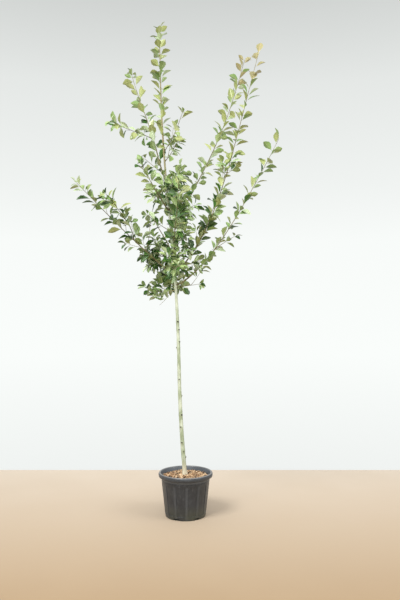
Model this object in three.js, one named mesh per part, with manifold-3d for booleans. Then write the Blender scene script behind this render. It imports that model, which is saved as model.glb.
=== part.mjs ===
import * as THREE from 'three';
import { mergeVertices } from 'three/addons/utils/BufferGeometryUtils.js';
import Module from 'manifold-3d';

// A young Lavalle hawthorn on one straight stem, in a round nursery pot.
// Millimetres, +Z up. The origin is the centre of the pot's underside.
// +X is the viewer's right and +Y points away from the viewer.

// The pot
const POT_HEIGHT = 315;
const RIM_RADIUS = 200;
const WALL_TOP_RADIUS = 180; // outside, just under the lip
const FOOT_RADIUS = 148; // outside, at the underside
const WALL = 4;
const LIP_HEIGHT = 31;
const FOOT_BEVEL = 6;
const POT_SIDES = 36;
const PANELS = 12; // sunk panels round the wall
const PANEL_START = -101; // bearing of the first panel's middle
const PANEL_SPAN = 14; // degrees
const PANEL_DEPTH = 1.8;
const PANEL_BOTTOM = 28;
const PANEL_TOP = 240;
const CUTTER_REACH = 1.2; // outside of a panel's cutter, as a multiple of its inside
const NOTCHES = 6; // drain holes cut into the bottom edge
const NOTCH_START = -115;
const NOTCH_WIDTH = 30;
const NOTCH_HEIGHT = 12;

// The ground inside the pot
const GROUND = 291; // the height where the trunk is cut
const GROUND_EDGE = 278; // the bark lies lower against the wall
const FLAT_RADIUS = 36; // level round the trunk's foot
const BARK_ROUGHNESS = 5;
const MOUND = [[140, 4], [104, 7], [70, 10]]; // radius, and height above the edge

// The trunk
const TREE_TOP = 3650; // end of the leader's wood
const TRUNK_TOP = 2740; // the leafy leader starts here
const TRUNK_RADIUS = 14;
const TRUNK_SIDES = 9;
const TRUNK_STEPS = 16;
const RING_CROWDING = 1.5; // over 1 sets the trunk's rings closer low down
const TIP_RADIUS = 1.5;
const TAPER = 0.8;
const FLARE = 7;
const FLARE_HEIGHT = 28;
const FOOT_OFFSET = -6;
const LEAN = -205; // how far the top leans to the left
const SWAY = 15;
const SWAY_START = 0.2;
const SWAY_LENGTH = 0.75;
const SWAY_DEPTH = 0.6; // front to back, as a share of the sideways sway
const SWAY_GROWTH = 4; // the sway is full from 1 / 4 of the way up
const KNOT_HEIGHTS = [421, 480, 642, 869, 1226, 1361, 1509];
const KNOT_RADIUS = 8;
const KNOT_SINK = 0.45; // how deep a knot's middle lies, as a share of its radius
const KNOT_FIRST_BEARING = -20;

// Boughs and twigs
const CLEARANCE = 0.3; // between neighbours that touch on the real tree
const BOUGH_RADIUS = 7.5;
const BOUGH_END_RADIUS = 4;
const SHOOT_TIP_RADIUS = 1.9;
const TWIG_RADIUS = 2.6;
const BOUGH_SIDES = 6;
const TWIG_SIDES = 3;
const STEM_EXTRA = 1; // a stem straight on the trunk is this much thicker than a twig
const FORK_EXTRA = 0.6;
const STEM_STEP = 130; // length of one straight piece of a stem
const FORK_STEP = 120;
const WAVER = 0.012; // sideways waver of a shoot, as a share of its length
const WAVER_TURN = 6; // radians over the shoot's length
const WAVER_GROWTH = 3; // the waver is full from a third of the way along
const WAVER_PHASE = 1.7; // from one seed to the next
const GOLDEN_TURN = 137.5;

// Leaves, a little larger than life because they are fewer
const LEAF_LENGTH = 74;
const LEAF_WIDTH = 50;
const LEAF_THICKNESS = 2;
const LEAF_LEAST = 0.8; // sizes, as a share of the full one
const LEAF_MOST = 1.1;
const WIDEST_AT = 0.56; // shares of a leaf's length
const THICKEST_AT = 0.3;
const LEAF_ROOT = 0.3; // how far a leaf's root is sunk past its twig's middle
const LEAF_PITCH = 47; // along a shoot
const PAIR_SHARE = 0.4; // sites with a second leaf
const LEAF_ROLL = 130; // degrees that a leaf's face may turn about its length, in all
const SITE_ROLL = 30; // degrees that a site may be off its turn round the stem, in all
const SLANT_LEAST = 38; // degrees between a leaf or twig and its stem
const SLANT_MOST = 66;
const TIP_SLANT = 8; // the last leaf of a stem, which has two more beside it
const TIP_PAIR = [[0.01, 90], [0.02, 250]]; // share before the tip, and turn round the stem
const TIP_PAIR_SLANT = 48;
const PAIR_STEP = 0.004; // the second leaf of a pair, in shares of the stem
const PAIR_TURN = 150;
const FIRST_SITE = 0.03; // shares of a stem between which it bears leaves
const FORK_FIRST_SITE = 0.08;
const TWIG_FIRST_SITE = 0.1;
const LAST_SITE = 0.995;
const TWIGS_LOW = 1.25; // side twigs are more frequent low on a shoot
const TWIGS_LESS = 1.5; // and less so by this, over its length
const TWIG_LONG = 190;
const TWIG_SHORT = 60;
const TWIG_LEAST = 0.6; // lengths, as a share of the full one
const TWIG_MOST = 1.1;
const TWIG_RISE_LEAST = 0.1; // how far a twig turns up, as a share of its length
const TWIG_RISE_MOST = 0.35;
const SIMPLEST = 0.02; // corners nearer to a flat face than this are taken out
const SPACE_MARGIN = 4; // between a twig's tip and the space of another mass
const LEAST_GAP = 0.8; // between a leaf and anything it isn't fused to

// A shoot leaves the trunk at a height, on a bearing in degrees from +X towards +Y, and
// ends after its reach outwards and its rise. With a bend over 1 it starts flat and ends
// steep. Up to its bare share it is a bough, and past that the stem of a leafy mass.
// A fork starts from a share of the way along its shoot. Twigs says how many sites bear
// a side twig in place of a leaf.
const SHOOTS = [
  {
    name: 'left_low', height: 1757, bearing: -159, reach: 745, rise: 650, bend: 1.05,
    bare: 0.16, twigs: 0.45,
    forks: [
      { from: 0.42, bearing: -128, reach: 285, rise: 290, bend: 0.6 },
      { from: 0.3, bearing: 80, reach: 250, rise: 440, bend: 1.05 },
    ],
  },
  {
    name: 'right_low', height: 1697, bearing: 15, reach: 845, rise: 1190, bend: 1.42,
    bare: 0.17, twigs: 0.4,
    forks: [{ from: 0.36, bearing: -14, reach: 150, rise: 90, bend: 0.9 }],
  },
  {
    name: 'right_outer', height: 1795, bearing: -40, reach: 780, rise: 1430, bend: 1.6,
    bare: 0.15, twigs: 0.4,
    forks: [{ from: 0.31, bearing: -30, reach: 165, rise: 360, bend: 1.1 }],
  },
  {
    name: 'right_inner', height: 2149, bearing: 46, reach: 890, rise: 1570, bend: 1.33,
    bare: 0.12, twigs: 0.4,
  },
  {
    name: 'left_high', height: 2476, bearing: 127.5, reach: 505, rise: 1015, bend: 1.07,
    bare: 0.12, twigs: 0.2,
    forks: [{ from: 0.4, bearing: -125, reach: 485, rise: 0, bend: 1 }],
  },
  {
    name: 'back_left', height: 1870, bearing: 118, reach: 440, rise: 440, bend: 0.8,
    bare: 0.25, twigs: 0.4,
  },
  {
    name: 'front_left', height: 2263, bearing: -112, reach: 440, rise: 250, bend: 1.4,
    bare: 0.2, twigs: 0.35,
  },
  {
    name: 'back', height: 1840, bearing: 88, reach: 470, rise: 800, bend: 1.3,
    bare: 0.2, twigs: 0.35,
  },
  {
    name: 'front', height: 1862, bearing: -84, reach: 420, rise: 520, bend: 1.2,
    bare: 0.22, twigs: 0.35,
  },
  {
    name: 'top_right', height: 2700, bearing: -64, reach: 350, rise: 190, bend: 1.25,
    bare: 0, twigs: 0.3,
  },
];

const LEADER_SEED = 20;
const LEADER_TWIGS = 0.12;

// Short leafy side shoots that stand straight on the trunk, worked out by a rule
const INNER_SHOOTS = 15;
const INNER_LOWEST = 1655;
const INNER_HIGHEST = 2630;
const INNER_CROWDING = 1.4; // over 1 sets more of them low down
const INNER_FIRST_BEARING = 190;
const INNER_REACH_LOW = 260;
const INNER_REACH_HIGH = 150;
const INNER_RISE_LOW = -0.1; // as a share of the reach
const INNER_RISE_HIGH = 0.8;
const INNER_RISE_SPREAD = 0.6; // under 1 makes them steep sooner
const INNER_BEND = 1.2;
const INNER_SEED = 30;
const INNER_TWIGS = 0.75;
const INNER_CLEAR_FROM = 0.06; // past the trunk's own wood
const INNER_TURN = 12; // degrees
const STEM_GAP = 12; // between the middles of two stems

const COLOURS = {
  pot: 0x3a3d40,
  bark_mulch: 0x9a6b42,
  trunk: 0xcdd0ab,
  bough: 0x8f8468,
  foliage: 0x6f9448,
};

const wasm = await Module();
wasm.setup();

const radians = THREE.MathUtils.degToRad;
const lerp = THREE.MathUtils.lerp;
const vec = (x, y, z) => new THREE.Vector3(x, y, z);

// A seeded run of numbers from 0 to 1
function makeRandom(seed) {
  let state = seed * 7919 + 17;
  return () => {
    state = (state * 48271) % 2147483647;
    return state / 2147483647;
  };
}

// The surface with each corner held once
function mergedSurface(geometry) {
  const plain = geometry.clone();
  plain.deleteAttribute('normal');
  plain.deleteAttribute('uv');
  return mergeVertices(plain, 1e-4);
}

function solidFrom(geometry) {
  const merged = mergedSurface(geometry);
  return new wasm.Manifold(new wasm.Mesh({
    numProp: 3,
    vertProperties: merged.attributes.position.array,
    triVerts: new Uint32Array(merged.index.array),
  }));
}

function geometryFrom(solid) {
  const mesh = solid.getMesh();
  const geometry = new THREE.BufferGeometry();
  geometry.setAttribute('position', new THREE.BufferAttribute(mesh.vertProperties, 3));
  geometry.setIndex(new THREE.BufferAttribute(mesh.triVerts, 1));
  geometry.computeVertexNormals();
  return geometry;
}

function joined(solids) {
  return wasm.Manifold.union(solids);
}

const tree = new THREE.Group();

function addNode(name, geometry, colour, roughness) {
  const material = new THREE.MeshStandardMaterial({ color: colour, roughness, metalness: 0 });
  const mesh = new THREE.Mesh(geometry, material);
  mesh.name = name;
  tree.add(mesh);
}

// Outside radius of the pot's plain wall at a height
function wallRadius(z) {
  return lerp(FOOT_RADIUS, WALL_TOP_RADIUS, z / (POT_HEIGHT - LIP_HEIGHT));
}

function lathe(profile) {
  const points = profile.map(([radius, z]) => new THREE.Vector2(radius, z));
  return new THREE.LatheGeometry(points, POT_SIDES).rotateX(Math.PI / 2);
}

// A block of a ring that follows the wall's slope, to sink one panel
function panelCutter(bearing) {
  const half = radians(PANEL_SPAN / 2);
  const section = new THREE.Shape();
  section.absarc(0, 0, CUTTER_REACH, -half, half, false);
  section.absarc(0, 0, 1, half, -half, true);
  const block = new THREE.ExtrudeGeometry(section, {
    depth: PANEL_TOP - PANEL_BOTTOM, bevelEnabled: false, curveSegments: 2,
  });
  block.translate(0, 0, PANEL_BOTTOM);
  const corner = block.attributes.position;
  for (let i = 0; i < corner.count; i += 1) {
    const inner = wallRadius(corner.getZ(i)) - PANEL_DEPTH;
    corner.setX(i, corner.getX(i) * inner);
    corner.setY(i, corner.getY(i) * inner);
  }
  return solidFrom(block.rotateZ(radians(bearing)));
}

function notchCutter(bearing) {
  const depth = 3 * WALL;
  const box = new THREE.BoxGeometry(depth, NOTCH_WIDTH, 2 * NOTCH_HEIGHT);
  return solidFrom(box.translate(FOOT_RADIUS, 0, 0).rotateZ(radians(bearing)));
}

function makePot() {
  const wallTop = POT_HEIGHT - LIP_HEIGHT;
  const shell = solidFrom(lathe([
    [0, 0],
    [FOOT_RADIUS - FOOT_BEVEL, 0],
    [wallRadius(FOOT_BEVEL), FOOT_BEVEL],
    [WALL_TOP_RADIUS, wallTop],
    [RIM_RADIUS - 3, wallTop],
    [RIM_RADIUS, wallTop + 8],
    [RIM_RADIUS - 2, POT_HEIGHT - 6],
    [RIM_RADIUS - 9, POT_HEIGHT],
    [RIM_RADIUS - 17, POT_HEIGHT - 2],
    [WALL_TOP_RADIUS - WALL, wallTop],
    [wallRadius(WALL) - WALL, WALL],
    [0, WALL],
  ]));
  const cuts = [];
  for (let i = 0; i < PANELS; i += 1) {
    cuts.push(panelCutter(PANEL_START + (360 / PANELS) * i));
  }
  for (let i = 0; i < NOTCHES; i += 1) {
    cuts.push(notchCutter(NOTCH_START + (360 / NOTCHES) * i));
  }
  addNode('pot', geometryFrom(shell.subtract(joined(cuts))), COLOURS.pot, 0.55);
}

// The filling, with a rough top of bark pieces that slopes down to the wall
function makeMulch() {
  const insideAt = (z) => wallRadius(z) - WALL - CLEARANCE;
  const low = WALL + NOTCH_HEIGHT;
  const profile = [
    [0, low],
    [insideAt(low), low],
    [insideAt(GROUND_EDGE), GROUND_EDGE],
    ...MOUND.map(([radius, rise]) => [radius, GROUND_EDGE + rise]),
    [FLAT_RADIUS, GROUND - CLEARANCE],
    [0, GROUND - CLEARANCE],
  ];
  const geometry = mergedSurface(lathe(profile));
  const random = makeRandom(3);
  const corner = geometry.attributes.position;
  for (let i = 0; i < corner.count; i += 1) {
    const radius = Math.hypot(corner.getX(i), corner.getY(i));
    if (corner.getZ(i) < GROUND_EDGE + 1 || radius < FLAT_RADIUS + 1) continue;
    corner.setZ(i, corner.getZ(i) + (random() - 0.5) * BARK_ROUGHNESS);
  }
  addNode('bark_mulch', geometryFrom(solidFrom(geometry)), COLOURS.bark_mulch, 0.95);
}

// The trunk's middle and radius at a height; the leader above it keeps to the same line
function trunkMiddle(z) {
  const up = (z - GROUND) / (TREE_TOP - GROUND);
  const turn = (2 * Math.PI * (up - SWAY_START)) / SWAY_LENGTH;
  const sway = SWAY * Math.min(1, SWAY_GROWTH * up);
  return vec(FOOT_OFFSET + LEAN * up + sway * Math.sin(turn), sway * Math.cos(turn) * SWAY_DEPTH, z);
}

function trunkRadius(z) {
  const left = Math.max(0, 1 - (z - GROUND) / (TREE_TOP - GROUND));
  return TIP_RADIUS + TRUNK_RADIUS * left ** TAPER + FLARE * Math.exp(-(z - GROUND) / FLARE_HEIGHT);
}

// A tapering limb: a cylinder whose rings are set along a line
function limb(middleAt, radiusAt, axesAt, sides, steps, crowding = 1) {
  const geometry = new THREE.CylinderGeometry(1, 1, 1, sides, steps);
  const corner = geometry.attributes.position;
  for (let i = 0; i < corner.count; i += 1) {
    const along = Math.min(1, Math.max(0, corner.getY(i) + 0.5)) ** crowding;
    const [side, front] = axesAt(along);
    const radius = radiusAt(along);
    const place = middleAt(along)
      .addScaledVector(side, corner.getX(i) * radius)
      .addScaledVector(front, -corner.getZ(i) * radius);
    corner.setXYZ(i, place.x, place.y, place.z);
  }
  return solidFrom(geometry);
}

const LEVEL_AXES = () => [vec(1, 0, 0), vec(0, 1, 0)];

function trunkSolid(extra, low = GROUND, high = TRUNK_TOP) {
  const heightAt = (along) => lerp(low, high, along);
  return limb(
    (along) => trunkMiddle(heightAt(along)),
    (along) => trunkRadius(heightAt(along)) + extra,
    LEVEL_AXES, TRUNK_SIDES, TRUNK_STEPS, RING_CROWDING,
  );
}

function makeTrunk() {
  const pieces = [trunkSolid(0)];
  KNOT_HEIGHTS.forEach((z, i) => {
    const bearing = radians(GOLDEN_TURN * i + KNOT_FIRST_BEARING);
    const out = trunkRadius(z) - KNOT_RADIUS * KNOT_SINK;
    const knot = new THREE.IcosahedronGeometry(KNOT_RADIUS, 0);
    const middle = trunkMiddle(z);
    knot.translate(middle.x + out * Math.cos(bearing), middle.y + out * Math.sin(bearing), z);
    pieces.push(solidFrom(knot));
  });
  addNode('trunk', geometryFrom(joined(pieces)), COLOURS.trunk, 0.8);
}

// The line of a shoot from its start, as points for a share of the way along
function makeCourse(start, { bearing, reach, rise, bend }, seed) {
  const out = vec(Math.cos(radians(bearing)), Math.sin(radians(bearing)), 0);
  const across = vec(-out.y, out.x, 0);
  const size = Math.hypot(reach, rise);
  const phase = seed * WAVER_PHASE;
  const waverAt = (along) => (
    WAVER * size * Math.sin(WAVER_TURN * along + phase) * Math.min(1, WAVER_GROWTH * along)
  );
  const middleAt = (along) => start.clone()
    .addScaledVector(out, reach * along)
    .addScaledVector(across, waverAt(along))
    .add(vec(0, 0, rise * along ** bend));
  const headingAt = (along) => {
    const low = Math.max(0.001, along - 0.01);
    return middleAt(low + 0.02).sub(middleAt(low)).normalize();
  };
  return { middleAt, headingAt, across, size };
}

// The same line for the trunk's own leafy top
function leaderCourse() {
  const heightAt = (along) => lerp(TRUNK_TOP + CLEARANCE, TREE_TOP, along);
  return {
    middleAt: (along) => trunkMiddle(heightAt(along)),
    headingAt: () => vec(0, 0, 1),
    across: vec(0, 1, 0),
    size: TREE_TOP - TRUNK_TOP,
  };
}

function courseAxes(course) {
  return (along) => {
    const heading = course.headingAt(along);
    const front = heading.clone().cross(course.across).normalize();
    return [front.clone().cross(heading), front];
  };
}

// Wood along a course between two shares of it
function courseLimb(course, low, high, thick, thin, sides, steps) {
  const shareAt = (along) => lerp(low, high, along);
  const axes = courseAxes(course);
  return limb(
    (along) => course.middleAt(shareAt(along)),
    (along) => lerp(thick, thin, along),
    (along) => axes(shareAt(along)),
    sides, steps,
  );
}

function distanceToLine(point, line) {
  let best = Infinity;
  const nearest = vec(0, 0, 0);
  for (let i = 1; i < line.length; i += 1) {
    const segment = new THREE.Line3(line[i - 1], line[i]);
    segment.closestPointToPoint(point, true, nearest);
    best = Math.min(best, nearest.distanceTo(point));
  }
  return best;
}

function lineOf(course, low, high, steps = 14) {
  const points = [];
  for (let i = 0; i <= steps; i += 1) points.push(course.middleAt(lerp(low, high, i / steps)));
  return points;
}

function makePlan(name, seed, course, forks, bare, twigs) {
  const forkLines = forks.map((fork) => lineOf(fork, 0, 1));
  return {
    name, seed, course, forks, bare, twigs,
    woodLines: [lineOf(course, 0, 1), ...forkLines],
    lines: [lineOf(course, bare, 1), ...forkLines],
  };
}

// A short shoot is turned on round the trunk until its stem passes clear of the others
function innerCourse(i, masses) {
  const high = i / (INNER_SHOOTS - 1);
  const reach = lerp(INNER_REACH_LOW, INNER_REACH_HIGH, high);
  const rise = reach * lerp(INNER_RISE_LOW, INNER_RISE_HIGH, high ** INNER_RISE_SPREAD);
  const start = trunkMiddle(lerp(INNER_LOWEST, INNER_HIGHEST, high ** INNER_CROWDING));
  const firstBearing = INNER_FIRST_BEARING + GOLDEN_TURN * i;
  const clearOf = (points, line) => points.every((point) => distanceToLine(point, line) > STEM_GAP);
  let course = null;
  for (let turn = 0; turn < 360; turn += INNER_TURN) {
    const way = { bearing: firstBearing + turn, reach, rise, bend: INNER_BEND };
    course = makeCourse(start, way, i + INNER_SEED);
    const points = lineOf(course, INNER_CLEAR_FROM, 1);
    if (masses.every((mass) => mass.woodLines.every((line) => clearOf(points, line)))) break;
  }
  return course;
}

// All masses, each with its leafy courses
function planMasses() {
  const plans = SHOOTS.map((shoot, i) => {
    const course = makeCourse(trunkMiddle(shoot.height), shoot, i + 1);
    const forks = (shoot.forks ?? []).map((fork, k) => (
      makeCourse(course.middleAt(fork.from), fork, 10 * i + k + 5)
    ));
    return makePlan(shoot.name, i + 1, course, forks, shoot.bare, shoot.twigs);
  });
  plans.push(makePlan('leader', LEADER_SEED, leaderCourse(), [], 0, LEADER_TWIGS));
  for (let i = 0; i < INNER_SHOOTS; i += 1) {
    const course = innerCourse(i, plans);
    plans.push(makePlan(`inner_${i + 1}`, i + INNER_SEED, course, [], 0, INNER_TWIGS));
  }
  return plans;
}

const masses = planMasses();

// A point is in a mass's space where that mass's stems are the nearest
function inOwnSpace(point, mass) {
  const own = Math.min(...mass.lines.map((line) => distanceToLine(point, line)));
  return masses.every((other) => (
    other === mass || other.lines.every((line) => distanceToLine(point, line) > own + SPACE_MARGIN)
  ));
}

// Everything made so far that a new leaf or twig has to keep clear of
const placed = [];

function boxOf(solid) {
  const { min, max } = solid.boundingBox();
  return new THREE.Box3(vec(...min), vec(...max));
}

function place(solid, mass, isLeaf = false) {
  placed.push({ solid, mass, isLeaf, box: boxOf(solid).expandByScalar(LEAST_GAP) });
}

// Clear of other masses and of limbs and, for a leaf, of the other leaves in its own mass
function isClear(solid, mass, isLeaf) {
  const box = boxOf(solid);
  return placed.every((other) => {
    if (other.mass === mass && !(isLeaf && other.isLeaf)) return true;
    return !other.box.intersectsBox(box) || solid.minGap(other.solid, 2 * LEAST_GAP) >= LEAST_GAP;
  });
}

// A flat leaf: its root, the way it points, and the way its upper face looks
function leafPoints(root, heading, face, scale) {
  const side = heading.clone().cross(face).normalize();
  const up = side.clone().cross(heading).normalize();
  const length = LEAF_LENGTH * scale;
  const middle = root.clone().addScaledVector(heading, WIDEST_AT * length);
  const thickest = root.clone().addScaledVector(heading, THICKEST_AT * length);
  const half = (LEAF_WIDTH * scale) / 2;
  return {
    root: root.clone().addScaledVector(heading, -LEAF_ROOT),
    tip: root.clone().addScaledVector(heading, length),
    left: middle.clone().addScaledVector(side, -half),
    right: middle.clone().addScaledVector(side, half),
    top: thickest.clone().addScaledVector(up, LEAF_THICKNESS / 2),
    under: thickest.clone().addScaledVector(up, -LEAF_THICKNESS / 2),
  };
}

function leafSolid(points) {
  const geometry = new THREE.OctahedronGeometry(1, 0);
  const corner = geometry.attributes.position;
  for (let i = 0; i < corner.count; i += 1) {
    let place = points.root;
    if (corner.getX(i) > 0.5) place = points.tip;
    if (corner.getY(i) > 0.5) place = points.left;
    if (corner.getY(i) < -0.5) place = points.right;
    if (corner.getZ(i) > 0.5) place = points.top;
    if (corner.getZ(i) < -0.5) place = points.under;
    corner.setXYZ(i, place.x, place.y, place.z);
  }
  const solid = solidFrom(geometry);
  if (solid.volume() > 0) return solid;
  const { left, right } = points;
  return leafSolid({ ...points, left: right, right: left });
}

// Fuses a leaf or twig on where it touches nothing else
function addIfClear(mass, solid, isLeaf) {
  if (!isClear(solid, mass, isLeaf)) return false;
  place(solid, mass, isLeaf);
  mass.solids.push(solid);
  return true;
}

// A heading that leaves a stem at a slant, turned round it by a roll
function slanted(heading, across, roll, slant) {
  const out = across.clone().applyAxisAngle(heading, radians(roll));
  return heading.clone().multiplyScalar(Math.cos(radians(slant)))
    .addScaledVector(out, Math.sin(radians(slant))).normalize();
}

// One leaf at a site, its face turned about its length by chance
function addLeaf(mass, course, share, roll, slant, random) {
  const stemHeading = course.headingAt(share);
  const heading = slanted(stemHeading, course.across, roll, slant);
  const turn = radians(LEAF_ROLL * (random() - 0.5));
  const face = stemHeading.clone().applyAxisAngle(heading, turn);
  const scale = lerp(LEAF_LEAST, LEAF_MOST, random());
  const points = leafPoints(course.middleAt(share), heading, face, scale);
  addIfClear(mass, leafSolid(points), true);
}

// Leaf sites along one leafy course: a leaf or two, or a side twig with leaves of its own
function growAlong(mass, course, low, high, random, twigShare) {
  const steps = Math.max(2, Math.round(((high - low) * course.size) / LEAF_PITCH));
  const firstRoll = 360 * random();
  for (let i = 1; i <= steps; i += 1) {
    const share = lerp(low, high, i / steps);
    const roll = firstRoll + GOLDEN_TURN * i + SITE_ROLL * (random() - 0.5);
    const slant = lerp(SLANT_LEAST, SLANT_MOST, random());
    if (i === steps) {
      addLeaf(mass, course, share, roll, TIP_SLANT, random);
      for (const [before, turn] of TIP_PAIR) {
        addLeaf(mass, course, share - before, roll + turn, TIP_PAIR_SLANT, random);
      }
    } else if (random() < twigShare * Math.max(0, TWIGS_LOW - TWIGS_LESS * share)) {
      const heading = slanted(course.headingAt(share), course.across, roll, slant);
      growTwig(mass, course.middleAt(share), heading, random, share);
    } else {
      addLeaf(mass, course, share, roll, slant, random);
      if (random() < PAIR_SHARE) {
        addLeaf(mass, course, share + PAIR_STEP, roll + PAIR_TURN, slant, random);
      }
    }
  }
}

// Almost upright, so that no twig runs along it
const OFF_UPRIGHT = vec(0.31, 0.17, 1);

function growTwig(mass, root, heading, random, share) {
  const length = lerp(TWIG_LONG, TWIG_SHORT, share) * lerp(TWIG_LEAST, TWIG_MOST, random());
  const rise = length * lerp(TWIG_RISE_LEAST, TWIG_RISE_MOST, random());
  const end = root.clone().addScaledVector(heading, length).add(vec(0, 0, rise));
  if (!inOwnSpace(end, mass)) return;
  const way = end.clone().sub(root);
  const across = way.clone().cross(OFF_UPRIGHT).normalize();
  const twig = {
    middleAt: (along) => root.clone().addScaledVector(way, along),
    headingAt: () => way.clone().normalize(),
    across,
    size: way.length(),
  };
  const wood = courseLimb(twig, 0, 1, TWIG_RADIUS, SHOOT_TIP_RADIUS, TWIG_SIDES, 1);
  if (addIfClear(mass, wood, false)) growAlong(mass, twig, TWIG_FIRST_SITE, LAST_SITE, random, 0);
}

function largestBody(solid) {
  const bodies = solid.decompose().sort((a, b) => b.volume() - a.volume());
  return bodies[0];
}

function makeStems(mass) {
  mass.start = mass.bare > 0 ? mass.bare + CLEARANCE / mass.course.size : 0;
  const thick = mass.bare > 0 ? BOUGH_END_RADIUS : TWIG_RADIUS + STEM_EXTRA;
  const steps = Math.max(3, Math.round(mass.course.size / STEM_STEP));
  mass.solids = [courseLimb(mass.course, mass.start, 1, thick, SHOOT_TIP_RADIUS, TWIG_SIDES, steps)];
  for (const fork of mass.forks) {
    const forkSteps = Math.max(2, Math.round(fork.size / FORK_STEP));
    mass.solids.push(
      courseLimb(fork, 0, 1, TWIG_RADIUS + FORK_EXTRA, SHOOT_TIP_RADIUS, TWIG_SIDES, forkSteps),
    );
  }
  mass.solids.forEach((solid) => place(solid, mass));
}

function growLeaves(mass) {
  const random = makeRandom(mass.seed);
  growAlong(mass, mass.course, mass.start + FIRST_SITE, LAST_SITE, random, mass.twigs);
  for (const fork of mass.forks) {
    growAlong(mass, fork, FORK_FIRST_SITE, LAST_SITE, random, mass.twigs / 2);
  }
}

function addMass(mass, trunkGuard) {
  let solid = joined(mass.solids);
  if (mass.bare === 0 && mass.name !== 'leader') solid = solid.subtract(trunkGuard);
  solid = largestBody(solid.simplify(SIMPLEST));
  addNode(`foliage_${mass.name}`, geometryFrom(solid), COLOURS.foliage, 0.6);
}

function makeBough(mass, trunkGuard) {
  const wood = courseLimb(mass.course, 0, mass.bare, BOUGH_RADIUS, BOUGH_END_RADIUS, BOUGH_SIDES, 3);
  const solid = largestBody(wood.subtract(trunkGuard));
  place(solid, null);
  addNode(`bough_${mass.name}`, geometryFrom(solid), COLOURS.bough, 0.8);
}

makePot();
makeMulch();
makeTrunk();
const trunkGuard = trunkSolid(CLEARANCE);
place(trunkGuard, null);
for (const mass of masses) {
  if (mass.bare > 0) makeBough(mass, trunkGuard);
  makeStems(mass);
}
for (const mass of masses) growLeaves(mass);
for (const mass of masses) addMass(mass, trunkGuard);

export default tree;
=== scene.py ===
import math
from collections.abc import Callable
from dataclasses import dataclass, replace

import bmesh
import bpy
import numpy as np
from mathutils import Matrix, Vector, noise


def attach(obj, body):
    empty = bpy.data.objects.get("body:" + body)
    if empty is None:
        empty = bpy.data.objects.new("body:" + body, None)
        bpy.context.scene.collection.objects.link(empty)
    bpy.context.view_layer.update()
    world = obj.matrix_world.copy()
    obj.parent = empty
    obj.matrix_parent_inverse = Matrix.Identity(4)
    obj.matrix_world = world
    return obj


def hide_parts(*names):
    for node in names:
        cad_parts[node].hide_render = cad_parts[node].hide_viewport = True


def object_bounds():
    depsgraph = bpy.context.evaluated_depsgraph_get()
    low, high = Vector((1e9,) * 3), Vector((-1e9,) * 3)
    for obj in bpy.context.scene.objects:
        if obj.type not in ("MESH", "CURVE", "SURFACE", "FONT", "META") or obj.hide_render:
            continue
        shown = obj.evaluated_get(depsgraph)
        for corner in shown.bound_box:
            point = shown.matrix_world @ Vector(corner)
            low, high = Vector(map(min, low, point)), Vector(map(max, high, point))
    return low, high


# A young Lavalle hawthorn on one straight stem, in a round nursery pot.
# Metres. The origin is the middle of the pot's underside, X is right and Y is away.

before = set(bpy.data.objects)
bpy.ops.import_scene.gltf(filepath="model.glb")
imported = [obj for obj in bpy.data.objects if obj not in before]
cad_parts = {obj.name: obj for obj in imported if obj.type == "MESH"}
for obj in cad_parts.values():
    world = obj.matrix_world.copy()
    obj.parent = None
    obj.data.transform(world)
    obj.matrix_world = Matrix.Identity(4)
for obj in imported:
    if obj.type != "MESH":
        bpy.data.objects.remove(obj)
solid_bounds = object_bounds()
scene = bpy.context.scene

# The pot. Bearings are in degrees from X towards Y.
POT_HEIGHT = 0.315
RIM_RADIUS = 0.200
WALL_TOP_RADIUS = 0.180
FOOT_RADIUS = 0.148
WALL = 0.004
LIP_HEIGHT = 0.031
WALL_TOP = POT_HEIGHT - LIP_HEIGHT
POT_COLUMNS = 180
PANELS = 12
PANEL_START = -101
PANEL_SPAN = 24
PANEL_DEPTH = 0.0034
PANEL_EDGE = 0.0016
PANEL_BOTTOM = 0.028
PANEL_TOP = 0.240
PANEL_ROWS = 6
LOW_ROWS = [0.010, 0.016]
BAND_GROOVE = 0.262
GROOVE_REACH = 0.003
GROOVE_DEPTH = 0.0016
NOTCHES = 6
NOTCH_START = -115
NOTCH_WIDTH = 0.040
NOTCH_HEIGHT = 0.014
NOTCH_REACH = 0.006
NOTCH_ROUNDING = 0.005
SHARP_EDGE = 38

# The rolled lip, up outside and down inside: radius, and height over the wall's top
LIP_OUTLINE = [
    (0.1925, -0.0010), (0.1955, -0.0006), (0.1972, 0.0010), (0.1990, 0.0060),
    (RIM_RADIUS, 0.0120), (0.1996, 0.0180), (0.1984, 0.0235), (0.1962, 0.0278),
    (0.1930, 0.0302), (0.1895, LIP_HEIGHT), (0.1862, 0.0302), (0.1838, 0.0280),
    (0.1822, 0.0235), (0.1790, 0.0100),
]

# The ground inside the pot
GROUND = 0.291
GROUND_EDGE = 0.278
FLAT_RADIUS = 0.036
SLOPE_END = 0.174
BED_RINGS = 28
BED_COLUMNS = 90
BED_LUMPS = 0.004
CLEARANCE = 0.0003

# The loose bark. Chips near the wall are kept short.
CHIPS = 1500
CHIPS_FROM = 0.024
CHIPS_TO = 0.170
CHIP_LENGTHS = (0.010, 0.034)
CHIP_TILT = 0.5
NEAR_WALL = 0.150
NEAR_WALL_LONG = 0.018

# The trunk
TREE_TOP = 3.650
TRUNK_TOP = 2.740
TRUNK_RADIUS = 0.014
TIP_RADIUS = 0.0015
TAPER = 0.8
FLARE = 0.007
FLARE_HEIGHT = 0.028
FOOT_OFFSET = -0.006
LEAN = -0.205
SWAY = 0.015
SWAY_START = 0.2
SWAY_LENGTH = 0.75
TRUNK_RINGS = 420
KNOT_HEIGHTS = [0.421, 0.480, 0.642, 0.869, 1.226, 1.361, 1.509]
SCAR_HEIGHTS = [0.465, 0.528, 0.730, 0.992, 1.271, 1.420]
GOLDEN_TURN = 137.5

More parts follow.
